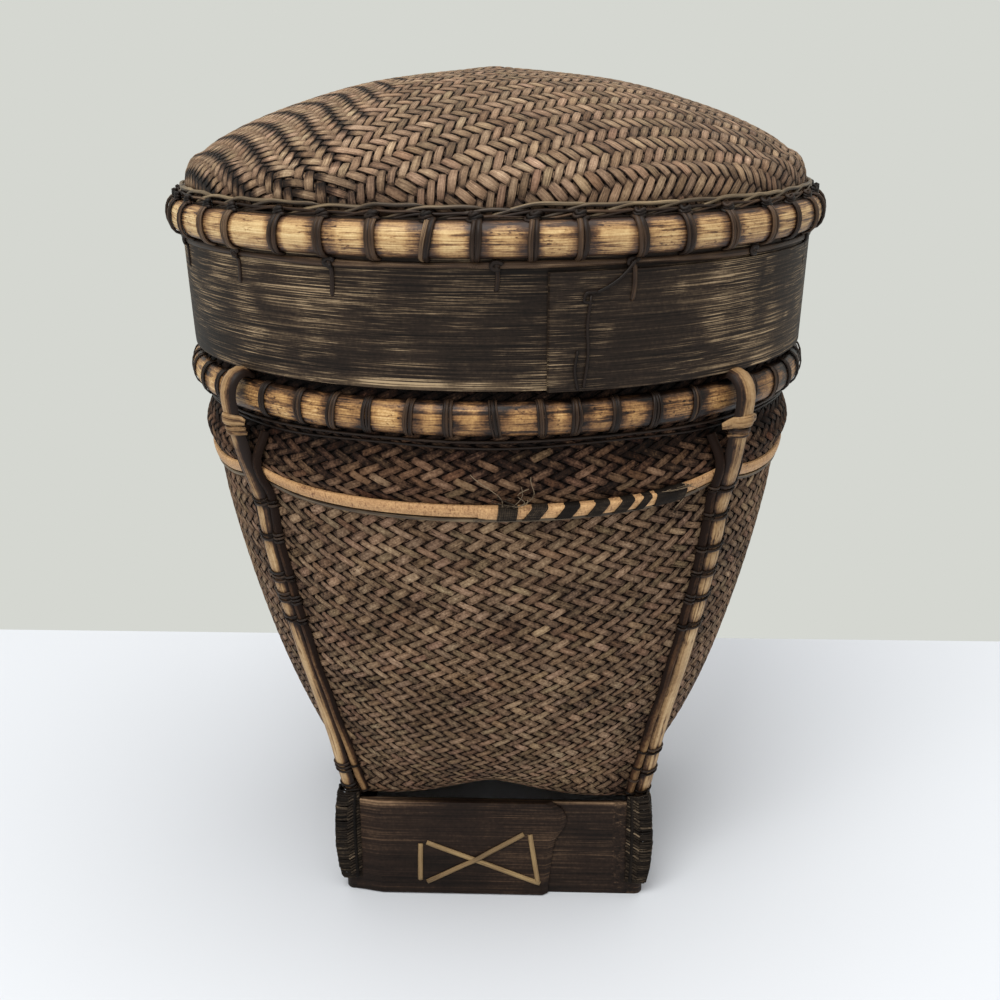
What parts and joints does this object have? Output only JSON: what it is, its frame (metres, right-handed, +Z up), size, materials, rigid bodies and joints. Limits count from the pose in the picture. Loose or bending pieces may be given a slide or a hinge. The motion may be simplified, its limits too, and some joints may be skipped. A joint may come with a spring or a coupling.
{
  "type": "rice basket",
  "caption": "Lidded rice basket: round woven body on a square bamboo foot, with corner struts, lashed cane hoops and a domed lid that lifts off.",
  "frame": {"origin": "centre of the square foot's underside, on the surface that the basket stands on", "axes": "+Z up; -Y is the front, where the belt, collar and foot band are lapped; the foot's sides lie along X and Y"},
  "size_m": [0.2328, 0.2328, 0.2972],
  "materials": {
    "woven_strips": "flat split-bamboo strips in a close twill, smoked and aged to a dark brown with lighter worn floats",
    "split_cane": "half-round split cane, rubbed to a soft sheen, light tan with brown streaks",
    "lashing_cane": "thin blackened cane lashing with a slight sheen",
    "dark_bamboo": "bent bamboo bands, blackened, with fine lighter fibre streaks along the bend",
    "bound_fibre": "wound dark plant fibre, matt",
    "stitch_cane": "peeled cane stitch, light tan"
  },
  "bodies": {
    "basket": {"woven_body": "woven_strips", "mouth_hoop": "split_cane", "inner_hoop": "split_cane", "belt": "split_cane", "corner_strut_1": "split_cane", "corner_strut_2": "split_cane", "corner_strut_3": "split_cane", "corner_strut_4": "split_cane", "strut_tie_1": "split_cane", "strut_tie_2": "split_cane", "strut_tie_3": "split_cane", "strut_tie_4": "split_cane", "mouth_lacing": "lashing_cane", "mouth_cord": "lashing_cane", "belt_backing": "lashing_cane", "belt_wrap_1": "lashing_cane", "belt_wrap_2": "lashing_cane", "neck_liner": "dark_bamboo", "neck_rim": "dark_bamboo", "foot_band": "dark_bamboo", "side_strip_1_left": "dark_bamboo", "side_strip_1_right": "dark_bamboo", "side_strip_2_left": "dark_bamboo", "side_strip_2_right": "dark_bamboo", "side_strip_3_left": "dark_bamboo", "side_strip_3_right": "dark_bamboo", "side_strip_4_left": "dark_bamboo", "side_strip_4_right": "dark_bamboo", "foot_binding_1": "bound_fibre", "foot_binding_2": "bound_fibre", "foot_binding_3": "bound_fibre", "foot_binding_4": "bound_fibre", "foot_stitch": "stitch_cane"},
    "lid": {"lid_dome": "woven_strips", "lid_hoop": "split_cane", "lid_inner_hoop": "split_cane", "lid_collar": "dark_bamboo", "lid_edge_cord": "lashing_cane", "lid_lacing": "lashing_cane", "collar_stitching": "lashing_cane", "seam_stitch": "lashing_cane"}
  },
  "joints": [
    {"name": "lid_lift", "type": "slide", "parent": "basket", "child": "lid", "axis": [0, 0, 1], "range_m": [0, 0.08]}
  ]
}
